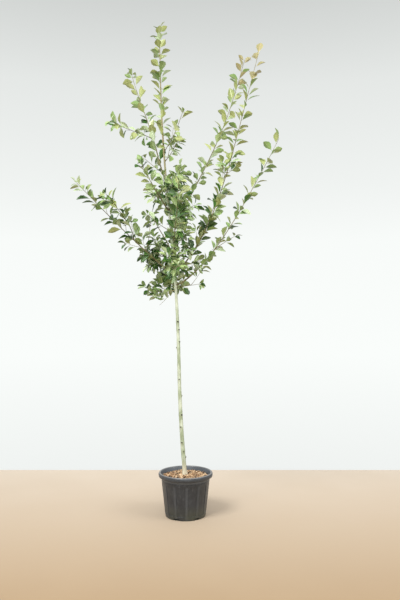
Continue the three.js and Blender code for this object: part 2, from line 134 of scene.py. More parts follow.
# How the bark swells at a knot, and how its healed end stands on it
KNOT_REACH = 0.011
KNOT_TURN = 0.55
KNOT_SWELL = 0.0042
KNOT_RING = 0.0008
SCAR_RADIUS = 0.0072
SCAR_LIFT = 0.0054
SCAR_DEPTH = 0.0022

# The ribs that run out from the trunk's foot
FOOT_RIBS = 5
FOOT_RIB_DEPTH = 0.0022
FOOT_RIB_FADE = 0.04
FOOT_RIB_TOP = GROUND + 0.12

# Boughs and twigs. A twig's pair is for one low on its stem and one at its end.
BOUGH_RADIUS = 0.0075
SMALL_SHOOT_RADIUS = 0.0033
SHOOT_TIP_RADIUS = 0.0014
COLLAR = 0.004
COLLAR_REACH = 0.012
TWIG_RADII = (0.0022, 0.0014)
TWIG_TIP_RADIUS = 0.0009
WAVER = 0.012
TWIG_LENGTHS = (0.190, 0.060)
TWIG_STEPS = 6
MORE_TWIGS = 0.12
MORE_INNER_TWIGS = 0.35
STEM_END = 0.995
FIRST_LEAF = 0.03

# Leaves at their real size, stalk and all, and thorns
LEAF_LENGTHS = (0.074, 0.108)
LEAF_ROLL = 120
THORN_SHARE = 0.07
THORNS_UP_TO = 0.7
THORN_LENGTHS = (0.030, 0.055)
THORN_SLANT = 75
THORN_TAPER = [(0, 0.0016), (0.5, 0.0010), (1, 0.0001)]

# Leaf sizes against each other: on shoots, along twigs, in pairs and at a stem's end
SHOOT_LEAF = 1.1
TWIG_LEAVES = (0.98, 0.85)
PAIR_LEAF = 0.9
CLUSTER_LEAF = 0.9
END_LEAF = 0.9
END_CLUSTER = 0.85
CLUSTER_COUNT = 3

# Where the crown is kept open and small, and where it ends
HEM = 1.585
EDGE_GAP = 0.012
SPARSE_BELOW = 0.5
TIP_LEAVES = 0.74
TIP_ZONE = 0.09

# A shoot leaves the trunk at a height, on a bearing in degrees from X towards Y, and
# ends after its reach outwards and its rise. Up to its bare share it bears no leaves.
# Twigs is the share of side twigs. Full says how close together the leaves stand,
# tip how large the last ones are and sparse how many are missing low on the shoot.
SHOOTS = [
    dict(name="left_low", height=1.757, bearing=-159, reach=0.745, rise=0.650, bend=1.05,
         bare=0.16, twigs=0.65, full=1.25, tip=0.6, forks=[
             dict(at=0.42, bearing=-128, reach=0.285, rise=0.290, bend=0.6, full=1.0),
             dict(at=0.3, bearing=80, reach=0.250, rise=0.440, bend=1.05, full=0.2)]),
    dict(name="right_low", height=1.697, bearing=15, reach=0.845, rise=1.190, bend=1.42,
         bare=0.17, twigs=0.12, full=1.2, tip=1.15, sparse=0.8, forks=[
             dict(at=0.36, bearing=-14, reach=0.150, rise=0.090, bend=0.9, full=0.5)]),
    dict(name="right_outer", height=1.795, bearing=-40, reach=0.780, rise=1.430, bend=1.6,
         bare=0.15, twigs=0.12, full=1.6, tip=1.0, forks=[
             dict(at=0.31, bearing=-30, reach=0.165, rise=0.360, bend=1.1, full=1.3)]),
    dict(name="right_inner", height=2.149, bearing=46, reach=0.890, rise=1.570, bend=1.33,
         bare=0.12, twigs=0.05, full=1.38, sparse=1.5),
    dict(name="left_high", height=2.476, bearing=127.5, reach=0.505, rise=1.015, bend=1.07,
         bare=0.12, twigs=0.05, full=1.0, forks=[
             dict(at=0.4, bearing=-125, reach=0.485, rise=0, bend=1, full=1.25)]),
    dict(name="back_left", height=1.870, bearing=118, reach=0.440, rise=0.440, bend=0.8,
         bare=0.25, twigs=0.1, full=0.25),
    dict(name="front_left", height=2.263, bearing=-112, reach=0.440, rise=0.250, bend=1.4,
         bare=0.2, twigs=0.3, full=1.15),
    dict(name="back", height=1.840, bearing=88, reach=0.470, rise=0.800, bend=1.3,
         bare=0.2, twigs=0.3, full=1.1),
    dict(name="front", height=1.862, bearing=-84, reach=0.420, rise=0.520, bend=1.2,
         bare=0.22, twigs=0.35, full=1.5),
    dict(name="top_right", height=2.700, bearing=-64, reach=0.350, rise=0.190, bend=1.25,
         bare=0, twigs=0.2, full=0.7),
]

# Short leafy side shoots on the trunk. A pair is for the lowest and the highest, and
# a rise is a share of the reach.
INNER_SHOOTS = 15
INNER_HEIGHTS = (1.655, 2.630)
INNER_CROWDING = 1.4
INNER_FIRST_BEARING = 190
INNER_REACH = (0.260, 0.150)
INNER_RISE = (-0.1, 0.8)
INNER_BEND = 1.2
INNER_TWIGS = 0.75
INNER_TURN = 12
STEM_GAP = 0.012
INNER_FULL = [1.6, 0.4, 1.5, 1.4, 0.65, 2.1, 0.9, 1.1, 0.35, 2.0, 1.2, 1.9, 1.9, 0.9, 0.8]

# Seeds for the growth of forks, inner shoots and the leader, and the forks' bare share
FORK_SEED = 50
INNER_SEED = 30
LEADER_SEED = 20
FORK_BARE = 0.05

# The trunk's own leafy top
LEADER_TWIGS = 0.05
LEADER_FULL = 1.2

TALL_SHOOTS = ("right_low", "right_outer", "right_inner")
BOUGH_NODES = ["bough_" + shoot["name"] for shoot in SHOOTS if shoot["bare"] > 0]
MASS_NODES = ["foliage_" + shoot["name"] for shoot in SHOOTS]
MASS_NODES += ["foliage_leader"]
MASS_NODES += [f"foliage_inner_{i + 1}" for i in range(INNER_SHOOTS)]

# Corners closer than this are one
MERGE = 0.000005

# Where finishes change on the way up
SPLASHED_FOOT = 0.11
INSIDE_SHOWS = 0.26
PALE_FOOT = (0.40, 0.29)
STAINED_FOOT = (0.42, 0.30)
YOUNG_BARK = (2.15, 2.75)

RANDOM_STEP = 48271
RANDOM_LIMIT = 2147483647


def lerp(low, high, share):
    return low + (high - low) * share


def make_random(seed):
    """A seeded run of numbers from 0 to 1"""
    state = seed * 7919 + 17

    def draw():
        nonlocal state
        state = (state * RANDOM_STEP) % RANDOM_LIMIT
        return state / RANDOM_LIMIT

    return draw


def paint(red, green, blue):
    """A colour given as it looks on a screen, from 0 to 255"""
    shares = [value / 255 for value in (red, green, blue)]
    return tuple(s / 12.92 if s < 0.04045 else ((s + 0.055) / 1.055) ** 2.4 for s in shares) + (1,)


class Finish:
    """A material, with short ways to add what it is mixed from"""

    def __init__(self, name, roughness, colour):
        self.material = bpy.data.materials.new(name)
        self.material.use_nodes = True
        self.tree = self.material.node_tree
        self.shader = self.tree.nodes["Principled BSDF"].inputs
        self.shader["Roughness"].default_value = roughness
        self.place = self.add("TexCoord").outputs
        self.shade = colour

    def feed(self, value, socket):
        """Gives an input its value, or links it to another node's output"""
        if isinstance(value, bpy.types.NodeSocket):
            self.tree.links.new(value, socket)
        else:
            socket.default_value = value

    def add(self, kind, **values):
        node = self.tree.nodes.new("ShaderNode" + kind)
        for name, value in values.items():
            self.feed(value, node.inputs[name])
        return node

    def mapped(self, stretch):
        return self.add("Mapping", Scale=stretch, Vector=self.place["Object"]).outputs["Vector"]

    def cloud(self, scale, detail=3, stretch=(1, 1, 1), rough=0.5):
        texture = self.add("TexNoise", Scale=scale, Detail=detail, Roughness=rough,
                           Vector=self.mapped(stretch))
        return texture.outputs["Fac"]

    def cells(self, scale, stretch=(1, 1, 1)):
        texture = self.add("TexVoronoi", Scale=scale, Vector=self.mapped(stretch))
        return texture.outputs["Distance"]

    def parts(self, kind="Object"):
        """The place on the piece as its X, Y and Z, or as its two UV shares"""
        return self.add("SeparateXYZ", Vector=self.place[kind]).outputs

    def height(self, low, high):
        """From 0 to 1 between two heights"""
        return self.spread(self.parts()["Z"], low, high)

    def spread(self, value, low=0.35, high=0.65, to_low=0, to_high=1):
        """A value between low and high, spread from to_low to to_high"""
        node = self.add("MapRange")
        for socket, part in zip(node.inputs, (value, low, high, to_low, to_high)):
            self.feed(part, socket)
        return node.outputs["Result"]

    def bearing(self, start):
        """Radians round the upright axis, from a bearing given in degrees"""
        place = self.parts()
        turn = self.maths("ARCTAN2", place["Y"], place["X"])
        return self.maths("SUBTRACT", turn, math.radians(start))

    def radius(self):
        """Distance from the upright axis"""
        node = self.add("VectorMath", Vector=self.mapped((1, 1, 0)))
        node.operation = "LENGTH"
        return node.outputs["Value"]

    def maths(self, kind, first, second):
        node = self.add("Math")
        node.operation = kind
        self.feed(first, node.inputs[0])
        self.feed(second, node.inputs[1])
        return node.outputs["Value"]

    def times(self, first, second):
        return self.maths("MULTIPLY", first, second)

    def lay(self, share, tint):
        """Lays a tint over the colour so far, as strongly as a share says"""
        node = self.add("Mix")
        node.data_type = "RGBA"
        for number, value in zip((0, 6, 7), (share, self.shade, tint)):
            self.feed(value, node.inputs[number])
        self.shade = node.outputs[2]
        self.feed(self.shade, self.shader["Base Color"])

    def relief(self, value, strength, depth):
        bump = self.add("Bump", Strength=strength, Distance=depth, Height=value)
        self.feed(bump.outputs["Normal"], self.shader["Normal"])


def add_piece(name, mesh, finish, nodes, smooth=True):
    """Sets a finished mesh into the scene in place of the solids it stands for"""
    mesh.name = name
    mesh.materials.clear()
    mesh.materials.append(finish.material)
    mesh.polygons.foreach_set("use_smooth", [smooth] * len(mesh.polygons))
    piece = bpy.data.objects.new(name, mesh)
    scene.collection.objects.link(piece)
    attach(piece, "root")
    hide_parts(*nodes)


def mesh_from(shape, name):
    mesh = bpy.data.meshes.new(name)
    shape.to_mesh(mesh)
    shape.free()
    return mesh


# Finishes

def pot_finish():
    """Black plastic, greyed by dust and with soil splashed on its foot; its ribs are painted
    lighter, part wear and part painted highlight, the rim's top has a dusty painted highlight, the
    lip's lower edge a painted sheen, and a painted shadow lies under the lip
    """
    finish = Finish("black nursery plastic", 0.5, paint(31, 35, 40))
    finish.shader["Specular IOR Level"].default_value = 0.6
    mottle = finish.cloud(9, 5)
    dust = finish.cloud(60, 6, (1, 1, 0.5), 0.65)
    scuffs = finish.cloud(40, 4, (3, 3, 0.25), 0.6)
    finish.lay(finish.spread(mottle), paint(41, 45, 50))
    # The raised ribs between the panels are painted lighter: partly wear, partly a painted
    # highlight where they catch the light
    off = finish.maths("PINGPONG", finish.bearing(PANEL_START), math.pi / PANELS)
    edge = PANEL_SPAN / 2
    rib = finish.spread(off, math.radians(edge - 1.5), math.radians(edge + 0.5))
    rib = finish.times(rib, finish.height(PANEL_TOP + 0.008, PANEL_TOP - 0.004))
    finish.lay(finish.times(rib, 0.22), paint(90, 94, 97))
    # A painted shadow under the lip, from the groove up to the lip
    painted_lip_shadow = finish.times(finish.height(BAND_GROOVE - 0.004, BAND_GROOVE + 0.004),
                             finish.height(WALL_TOP + 0.004, WALL_TOP - 0.002))
    finish.lay(finish.times(painted_lip_shadow, 0.6), paint(24, 26, 28))
    # The lip's lower edge is painted lighter: a painted sheen
    lip = finish.height(WALL_TOP, WALL_TOP + 0.006)
    finish.lay(finish.times(lip, 0.35), paint(68, 73, 78))
    finish.lay(finish.spread(dust, 0.5, 0.8, 0, 0.25), paint(104, 106, 106))
    finish.lay(finish.spread(scuffs, 0.62, 0.72, 0, 0.16), paint(140, 140, 138))
    low = finish.times(finish.height(SPLASHED_FOOT, 0.0), finish.spread(mottle, 0.3, 0.6))
    finish.lay(finish.times(low, 0.6), paint(70, 72, 50))
    # The rim's top is painted lighter in patches: dust, and a painted highlight where it faces the
    # light
    high = finish.height(POT_HEIGHT - 0.0055, POT_HEIGHT - 0.0015)
    high = finish.times(high, finish.spread(dust, 0.3, 0.7, 0.4, 0.8))
    finish.lay(high, paint(142, 141, 137))
    inside = finish.spread(finish.radius(), WALL_TOP_RADIUS + 0.006, WALL_TOP_RADIUS + 0.002)
    inside = finish.times(inside, finish.height(INSIDE_SHOWS, INSIDE_SHOWS + 0.01))
    finish.lay(finish.times(inside, 0.55), paint(98, 104, 110))
    finish.feed(finish.spread(dust, 0.3, 0.7, 0.30, 0.46), finish.shader["Roughness"])
    finish.relief(finish.maths("ADD", dust, scuffs), 0.12, 0.0006)
    return finish


def mulch_finish():
    finish = Finish("damp potting compost", 0.95, paint(66, 50, 38))
    lumps = finish.cloud(90, 5)
    finish.lay(finish.spread(lumps), paint(128, 100, 74))
    finish.relief(lumps, 0.8, 0.004)
    return finish


def chip_finish(name, dark, light):
    finish = Finish(name, 0.85, dark)
    grain = finish.cloud(220, 4, (1, 1, 3))
    finish.lay(finish.spread(finish.cloud(45, 2)), light)
    finish.lay(finish.spread(grain, 0.45, 0.7, 0, 0.5), dark)
    finish.relief(grain, 0.5, 0.001)
    return finish


def trunk_finish():
    """Pale green bark, browner where the trunk is young and bleached at its foot"""
    finish = Finish("smooth pale bark", 0.7, paint(192, 199, 177))
    patches = finish.cloud(26, 4, (1, 1, 0.4))
    streaks = finish.cloud(120, 4, (1, 1, 0.12), 0.6)
    dots = finish.cells(170, (1, 1, 0.6))
    finish.lay(finish.spread(patches, 0.42, 0.58), paint(152, 163, 132))
    finish.lay(finish.spread(streaks, 0.46, 0.7, 0, 0.65), paint(122, 132, 100))
    finish.lay(finish.spread(dots, 0.18, 0.08, 0, 0.6), paint(112, 104, 78))
    foot = finish.times(finish.height(*PALE_FOOT), finish.spread(patches, 0.3, 0.6, 0.4, 1))
    finish.lay(foot, paint(228, 214, 190))
    stains = finish.spread(streaks, 0.45, 0.6, 0, 0.7)
    finish.lay(finish.times(finish.height(*STAINED_FOOT), stains), paint(150, 140, 112))
    finish.lay(finish.height(*YOUNG_BARK), paint(128, 116, 78))
    finish.relief(finish.maths("ADD", streaks, patches), 0.5, 0.0015)
    return finish


def twig_finish():
    finish = Finish("smooth brown bark", 0.6, paint(90, 82, 52))
    patches = finish.cloud(25, 3)
    dots = finish.cells(260, (1, 1, 0.7))
    finish.lay(finish.spread(patches), paint(124, 117, 78))
    finish.lay(finish.spread(dots, 0.16, 0.06, 0, 0.5), paint(170, 160, 130))
    finish.relief(patches, 0.4, 0.001)
    return finish


def wood_finish(name, dark, light):
    finish = Finish(name, 0.55, dark)
    patches = finish.cloud(70, 3)
    finish.lay(finish.spread(patches), light)
    finish.relief(patches, 0.3, 0.0006)
    return finish


def leaf_finish(name, dark, light, rib):
    """A glossy leaf that varies from spray to spray, with a paler rib and side veins"""
    finish = Finish(name, 0.36, dark)
    finish.shader["Specular IOR Level"].default_value = 0.65
    finish.shader["Coat Weight"].default_value = 0.1
    finish.shader["Coat Roughness"].default_value = 0.22
    sprays = finish.cloud(5, 2)
    leaves = finish.cloud(26, 2)
    tone = finish.maths("ADD", finish.spread(sprays, 0.3, 0.7, 0, 0.6),
                        finish.spread(leaves, 0.3, 0.7, 0, 0.4))
    finish.lay(tone, light)
    place = finish.parts("UV")
    aside = finish.maths("PINGPONG", finish.maths("SUBTRACT", place["X"], 0.5), 1)
    middle = finish.spread(aside, 0.06, 0.02)
    slope = finish.maths("SUBTRACT", finish.times(place["Y"], 9), finish.times(aside, 7))
    veins = finish.spread(finish.maths("PINGPONG", slope, 0.5), 0.08, 0.0, 0, 0.35)
    lines = finish.maths("MAXIMUM", middle, veins)
    finish.lay(finish.times(lines, 0.6), rib)
    finish.relief(finish.maths("SUBTRACT", 1, lines), 0.35, 0.001)
    return finish


def floor_finish():
    """A plain pale floor, painted lighter towards the wall and darker towards the front: a painted
    falloff of the light
    """
    finish = Finish("pale floor", 0.8, paint(149, 124, 91))
    patches = finish.cloud(2, 3)
    # Painted light: lighter towards the wall, darker towards the front
    finish.lay(finish.spread(finish.parts()["Y"], -1.6, 1.3), paint(210, 196, 177))
    finish.lay(finish.spread(patches, 0.3, 0.7, 0, 0.12), paint(178, 157, 128))
    return finish


# The pot

def wall_radius(z):
    """The outer radius of the pot's tapered wall"""
    return lerp(FOOT_RADIUS, WALL_TOP_RADIUS, z / WALL_TOP)


def turned(profile, columns, start=0):
    """A closed round body turned from its profile of radius and height"""
    body = bmesh.new()
    turns = [math.radians(start) + math.tau * k / columns for k in range(columns)]
    rings = []
    for r, z in profile:
        if r == 0:
            rings.append([body.verts.new((0, 0, z))] * columns)
        else:
            rings.append([body.verts.new((r * math.cos(t), r * math.sin(t), z)) for t in turns])
    for low, high in zip(rings, rings[1:]):
        for k in range(columns):
            corners = dict.fromkeys((low[k - 1], low[k], high[k], high[k - 1]))
            body.faces.new(list(corners))
    bmesh.ops.recalc_face_normals(body, faces=body.faces)
    return body


def bearing_of(point):
    return math.degrees(math.atan2(point.y, point.x))


def sink_panels(body):
    for i in range(PANELS):
        middle = PANEL_START + 360 / PANELS * i
        faces = []
        for face in body.faces:
            place = face.calc_center_median()
            off = abs((bearing_of(place) - middle + 180) % 360 - 180)
            outside = math.hypot(place.x, place.y) > wall_radius(place.z) - WALL / 2
            if outside and off < PANEL_SPAN / 2 and PANEL_BOTTOM < place.z < PANEL_TOP:
                faces.append(face)
        bmesh.ops.inset_region(body, faces=faces, thickness=PANEL_EDGE, depth=-PANEL_DEPTH,
                               use_even_offset=True, use_boundary=True)


def heading_of(edge):
    return (edge.verts[0].co - edge.verts[1].co).normalized()


def evaluated_mesh(item):
    """An object's mesh with its modifiers and curves carried out"""
    return bpy.data.meshes.new_from_object(
        item.evaluated_get(bpy.context.evaluated_depsgraph_get()))


def cut_notches(mesh):
    """Drain holes with rounded tops through the bottom edge"""
    cutter = bmesh.new()
    for i in range(NOTCHES):
        turn = Matrix.Rotation(math.radians(NOTCH_START + 360 / NOTCHES * i), 4, "Z")
        size = Matrix.Diagonal((2 * NOTCH_REACH, NOTCH_WIDTH, 2 * NOTCH_HEIGHT, 1))
        place = turn @ Matrix.Translation((FOOT_RADIUS, 0, 0)) @ size
        made = bmesh.ops.create_cube(cutter, size=1, matrix=place)
        edges = dict.fromkeys(edge for end in made["verts"] for edge in end.link_edges)
        upper = [edge for edge in edges if all(end.co.z > 0 for end in edge.verts)]
        inward = turn @ Vector((1, 0, 0))
        rounded = [edge for edge in upper if abs(heading_of(edge).dot(inward)) > 0.9]
        bmesh.ops.bevel(cutter, geom=rounded, offset=NOTCH_ROUNDING, segments=3,
                        profile=0.5, affect="EDGES", material=-1)
    whole = bpy.data.objects.new("pot wall", mesh)
    tool = bpy.data.objects.new("notches", mesh_from(cutter, "notches"))
    for item in (whole, tool):
        scene.collection.objects.link(item)
    cut = whole.modifiers.new("notches", "BOOLEAN")
    cut.operation = "DIFFERENCE"
    cut.solver = "EXACT"
    cut.object = tool
    finished = evaluated_mesh(whole)
    for item in (whole, tool):
        bpy.data.objects.remove(item)
    return finished


def make_pot():
    wall_rows = LOW_ROWS + [PANEL_BOTTOM]
    wall_rows += [lerp(PANEL_BOTTOM, PANEL_TOP, (k + 1) / PANEL_ROWS) for k in range(PANEL_ROWS)]
    outside = [(wall_radius(z), z) for z in wall_rows]
    groove = wall_radius(BAND_GROOVE) - GROOVE_DEPTH
    below = BAND_GROOVE - GROOVE_REACH
    above = BAND_GROOVE + GROOVE_REACH
    outside += [(wall_radius(below), below), (groove, BAND_GROOVE - GROOVE_DEPTH)]
    outside += [(groove, BAND_GROOVE + GROOVE_DEPTH), (wall_radius(above), above)]
    outside += [(WALL_TOP_RADIUS, WALL_TOP)]
    lip = [(radius, WALL_TOP + rise) for radius, rise in LIP_OUTLINE]
    inside = [(WALL_TOP_RADIUS - WALL, WALL_TOP), (wall_radius(0.1) - WALL, 0.1)]
    inside += [(wall_radius(WALL) - WALL, WALL), (0.08, WALL), (0, WALL)]
    foot = [(0, 0), (0.10, 0), (FOOT_RADIUS - 0.006, 0), (FOOT_RADIUS - 0.002, 0.0006)]
    foot += [(wall_radius(0.002), 0.0028)]
    body = turned(foot + outside + lip + inside, POT_COLUMNS, PANEL_START - PANEL_SPAN / 2)
    sink_panels(body)
    mesh = cut_notches(mesh_from(body, "pot"))
    add_piece("pot_dressed", mesh, pot_finish(), ["pot"])
    mesh.set_sharp_from_angle(angle=math.radians(SHARP_EDGE))


# The ground inside the pot

def ground_height(radius):
    """Height of the bark's top at a distance from the middle"""
    down = max(0, (radius - FLAT_RADIUS) / (SLOPE_END - FLAT_RADIUS))
    return lerp(GROUND - CLEARANCE, GROUND_EDGE, down)


def make_ground():
    low = WALL + NOTCH_HEIGHT
    inner = wall_radius(low) - WALL - CLEARANCE
    edge = wall_radius(GROUND_EDGE) - WALL - CLEARANCE
    rings = [edge * (1 - k / BED_RINGS) for k in range(1, BED_RINGS)]
    profile = [(0, low), (inner, low), (edge, GROUND_EDGE)]
    profile += [(r, ground_height(r)) for r in rings] + [(0, GROUND)]
    bed = turned(profile, BED_COLUMNS)
    for corner in bed.verts:
        out = math.hypot(corner.co.x, corner.co.y)
        if corner.co.z > GROUND_EDGE - BED_LUMPS and out < edge - BED_LUMPS / 2:
            corner.co.z += BED_LUMPS * noise.noise(corner.co * 70) - BED_LUMPS / 2
    add_piece("compost_bed", mesh_from(bed, "bed"), mulch_finish(), ["bark_mulch"])


def chip_shape(seed):
    """A flat splinter of bark with uneven faces"""
    chip = bmesh.new()
    bmesh.ops.create_cube(chip, size=1)
    bmesh.ops.subdivide_edges(chip, edges=chip.edges, cuts=1, use_grid_fill=True)
    random = make_random(seed)
    for corner in chip.verts:
        narrow = 1 - 0.45 * abs(corner.co.y) * 2 * random()
        corner.co.x *= narrow * lerp(0.75, 1.15, random())
        corner.co.z *= lerp(0.6, 1.3, random())
        corner.co.y *= lerp(0.85, 1.1, random())
    bmesh.ops.recalc_face_normals(chip, faces=chip.faces)
    return chip


class Stamp:
    """A small shape that is set down many times in one joined mesh"""

    def __init__(self, shape):
        shape.verts.ensure_lookup_table()
        self.corners = np.array([v.co[:] for v in shape.verts])
        self.faces = [[v.index for v in f.verts] for f in shape.faces]
        layer = shape.loops.layers.uv.active
        loops = [loop for face in shape.faces for loop in face.loops]
        self.places = [loop[layer].uv[:] for loop in loops] if layer else []
        shape.free()


def stamped_mesh(name, stamps, settings):
    """One mesh from settings of stamp number, root, side, heading, up, width, length and depth"""
    corners = []
    faces = []
    places = []
    count = 0
    for number, root, side, heading, up, width, length, depth in settings:
        stamp = stamps[number]
        axes = np.array([side * width, heading * length, up * depth])
        corners.append(stamp.corners @ axes + np.array(root))
        faces += [[index + count for index in face] for face in stamp.faces]
        count += len(stamp.corners)
        places += stamp.places
    mesh = bpy.data.meshes.new(name)
    mesh.from_pydata(np.concatenate(corners).tolist(), [], faces)
    if places:
        layer = mesh.uv_layers.new(name="leaf")
        layer.data.foreach_set("uv", np.ravel(places))
    mesh.update()
    return mesh


# The tones of the chips, and the shares of a pick at which the next one starts
CHIP_COLOURS = [
    ("chips_tan", paint(166, 134, 98), paint(214, 188, 152)),
    ("chips_brown", paint(124, 92, 64), paint(172, 138, 102)),
    ("chips_dark", paint(56, 44, 34), paint(96, 76, 58)),
]
CHIP_SHARES = (0.5, 0.82)


def make_chips():
    stamps = [Stamp(chip_shape(seed)) for seed in (5, 6, 7)]
    random = make_random(12)
    settings = [[] for _ in CHIP_COLOURS]
    for i in range(CHIPS):
        out = CHIPS_TO * math.sqrt(random())
        bearing = math.tau * random()
        if out < CHIPS_FROM:
            continue
        length = lerp(*CHIP_LENGTHS, random() ** 1.6)
        if out > NEAR_WALL:
            length = min(length, NEAR_WALL_LONG)
        width = length * lerp(0.3, 0.65, random())
        depth = lerp(0.002, 0.0055, random())
        lift = ground_height(out) + lerp(-0.001, 0.008, random() ** 2)
        root = Vector((out * math.cos(bearing), out * math.sin(bearing), lift))
        turn = Matrix.Rotation(math.tau * random(), 3, "Z")
        turn = turn @ Matrix.Rotation(lerp(-CHIP_TILT, CHIP_TILT, random()), 3, "X")
        turn = turn @ Matrix.Rotation(lerp(-CHIP_TILT, CHIP_TILT, random()), 3, "Y")
        pick = random()
        tone = sum(pick >= share for share in CHIP_SHARES)
        settings[tone].append((i % 3, root, *turn.col, width, length, depth))
    for (name, *tones), group in zip(CHIP_COLOURS, settings):
        mesh = stamped_mesh(name, stamps, group)
        finish = chip_finish(name, *tones)
        add_piece(name, mesh, finish, ["bark_mulch"], smooth=False)


# The wood

def trunk_middle(z):
    """The trunk's line, which leans to the left and sways a little"""
    up = (z - GROUND) / (TREE_TOP - GROUND)
    turn = math.tau * (up - SWAY_START) / SWAY_LENGTH
    sway = SWAY * min(1, 4 * up)
    x = FOOT_OFFSET + LEAN * up + sway * math.sin(turn)
    return Vector((x, sway * math.cos(turn) * 0.6, z))


def trunk_radius(z):
    left = max(0, 1 - (z - GROUND) / (TREE_TOP - GROUND))
    flare = FLARE * math.exp(-(z - GROUND) / FLARE_HEIGHT)
    return TIP_RADIUS + TRUNK_RADIUS * left ** TAPER + flare


class Shoot:
    """The line of a shoot from its start"""

    def __init__(self, start, seed, bearing, reach, rise, bend):
        turn = math.radians(bearing)
        self.start = start
        self.out = Vector((math.cos(turn), math.sin(turn), 0))
        self.across = Vector((-self.out.y, self.out.x, 0))
        self.reach = reach
        self.rise = rise
        self.bend = bend
        self.size = math.hypot(reach, rise)
        self.phase = seed * 1.7

    def middle(self, along):
        along = max(0, along)
        waver = WAVER * self.size * math.sin(6 * along + self.phase) * min(1, 3 * along)
        up = Vector((0, 0, self.rise * along ** self.bend))
        return self.start + self.out * self.reach * along + self.across * waver + up

    def heading(self, along):
        low = max(0.001, along - 0.01)
        return (self.middle(low + 0.02) - self.middle(low)).normalized()

    def slanted(self, share, roll, slant):
        """A heading that leaves the line at a slant, turned round it by a roll"""
        heading = self.heading(share)
        out = Matrix.Rotation(math.radians(roll), 3, heading) @ self.across
        turn = math.radians(slant)
        return (heading * math.cos(turn) + out * math.sin(turn)).normalized()


class Leader(Shoot):
    """The trunk's own leafy top, on the trunk's line"""

    def __init__(self):
        self.across = Vector((0, 1, 0))
        self.size = TREE_TOP - TRUNK_TOP

    def middle(self, along):
        return trunk_middle(lerp(TRUNK_TOP, TREE_TOP, along))

    def heading(self, along):
        return Vector((0, 0, 1))


class Twig(Shoot):
    """A side twig from its root to its end, a little bowed"""

    def __init__(self, root, end, bow):
        self.root = root
        self.way = end - root
        self.bow = bow
        self.size = self.way.length
        self.across = self.way.cross(Vector((0.31, 0.17, 1))).normalized()

    def middle(self, along):
        return self.root + self.way * along + self.bow * (4 * along * (1 - along))

    def heading(self, along):
        return (self.way + self.bow * (4 - 8 * along)).normalized()


def line_of(shoot, low, high, steps=14):
    return [shoot.middle(lerp(low, high, k / steps)) for k in range(steps + 1)]


def distance_to_line(point, line):
    best = math.inf
    for first, second in zip(line, line[1:]):
        way = second - first
        share = min(1, max(0, (point - first).dot(way) / way.length_squared))
        best = min(best, (first + way * share - point).length)
    return best


def inner_shoot(i, lines):
    """A short shoot turned on round the trunk until its stem passes clear of the others"""
    high = i / (INNER_SHOOTS - 1)
    reach = lerp(*INNER_REACH, high)
    rise = reach * lerp(*INNER_RISE, high ** 0.6)
    start = trunk_middle(lerp(*INNER_HEIGHTS, high ** INNER_CROWDING))
    for turn in range(0, 360, INNER_TURN):
        bearing = INNER_FIRST_BEARING + GOLDEN_TURN * i + turn
        shoot = Shoot(start, INNER_SEED + i, bearing, reach, rise, INNER_BEND)
        points = line_of(shoot, 0.06, 1)
        if all(distance_to_line(point, line) > STEM_GAP for line in lines for point in points):
            break
    return shoot


@dataclass
class Stem:
    """A leafy stem: its line, its own random numbers and what it grows by. Its order
    is 0 on a shoot, 1 on a twig of the shoot and 2 on a twig of that."""

    line: Shoot
    random: Callable
    kind: str
    twigs: float
    full: float
    bare: float = 0
    end: float = STEM_END
    tip: float = TIP_LEAVES
    sparse: float = 0
    order: int = 0


def shoot_line(start, seed, entry):
    return Shoot(start, seed, entry["bearing"], entry["reach"], entry["rise"], entry["bend"])


def kind_of(entry):
    if entry["name"] in TALL_SHOOTS:
        return "tall"
    return "shoot" if entry["bare"] > 0 else "small"


def plan_crown():
    """Every leafy stem, in the order in which they grow"""
    stems = []
    for i, entry in enumerate(SHOOTS):
        shoot = shoot_line(trunk_middle(entry["height"]), i + 1, entry)
        stems.append(Stem(shoot, make_random(i + 1), kind_of(entry), entry["twigs"],
                          entry["full"], entry["bare"], tip=entry.get("tip", TIP_LEAVES),
                          sparse=entry.get("sparse", 0)))
        for k, fork in enumerate(entry.get("forks", [])):
            number = 10 * i + k
            branch = shoot_line(shoot.middle(fork["at"]), number + 5, fork)
            stems.append(Stem(branch, make_random(FORK_SEED + number), "fork",
                              entry["twigs"] / 2, fork["full"], FORK_BARE))
    stems.append(Stem(Leader(), make_random(LEADER_SEED), "leader", LEADER_TWIGS, LEADER_FULL))
    lines = [line_of(stem.line, 0, 1) for stem in stems]
    for i in range(INNER_SHOOTS):
        shoot = inner_shoot(i, lines)
        lines.append(line_of(shoot, 0, 1))
        twigs = INNER_TWIGS * lerp(1, 0.2, i / (INNER_SHOOTS - 1))
        stems.append(Stem(shoot, make_random(INNER_SEED + i), "inner", twigs, INNER_FULL[i],
                          end=min(STEM_END, 0.72 + 0.08 * i)))
    return stems


def wood_mesh(name, strands, rounding):
    """Tapering strands of wood as one mesh; a strand is its points, each with a radius"""
    curve = bpy.data.curves.new(name, "CURVE")
    curve.dimensions = "3D"
    curve.bevel_depth = 1
    curve.bevel_resolution = rounding
    curve.resolution_u = 1
    curve.use_fill_caps = True
    for strand in strands:
        spline = curve.splines.new("POLY")
        spline.points.add(len(strand) - 1)
        for point, (place, radius) in zip(spline.points, strand):
            point.co = (*place, 1)
            point.radius = radius
    carrier = bpy.data.objects.new(name, curve)
    scene.collection.objects.link(carrier)
    bpy.context.view_layer.update()
    mesh = evaluated_mesh(carrier)
    bpy.data.objects.remove(carrier)
    shape = bmesh.new()
    shape.from_mesh(mesh)
    bmesh.ops.remove_doubles(shape, verts=shape.verts, dist=MERGE)
    bmesh.ops.recalc_face_normals(shape, faces=shape.faces)
    shape.to_mesh(mesh)
    shape.free()
    return mesh


def scar_places():
    """Height, bearing and size of each healed cut on the trunk"""
    places = [(z, GOLDEN_TURN * i - 20, 1.0) for i, z in enumerate(KNOT_HEIGHTS)]
    for i, z in enumerate(SCAR_HEIGHTS):
        places.append((z, -74 - 36 * (i % 2) + 6 * i, 0.85 + 0.15 * (i % 3)))
    return places


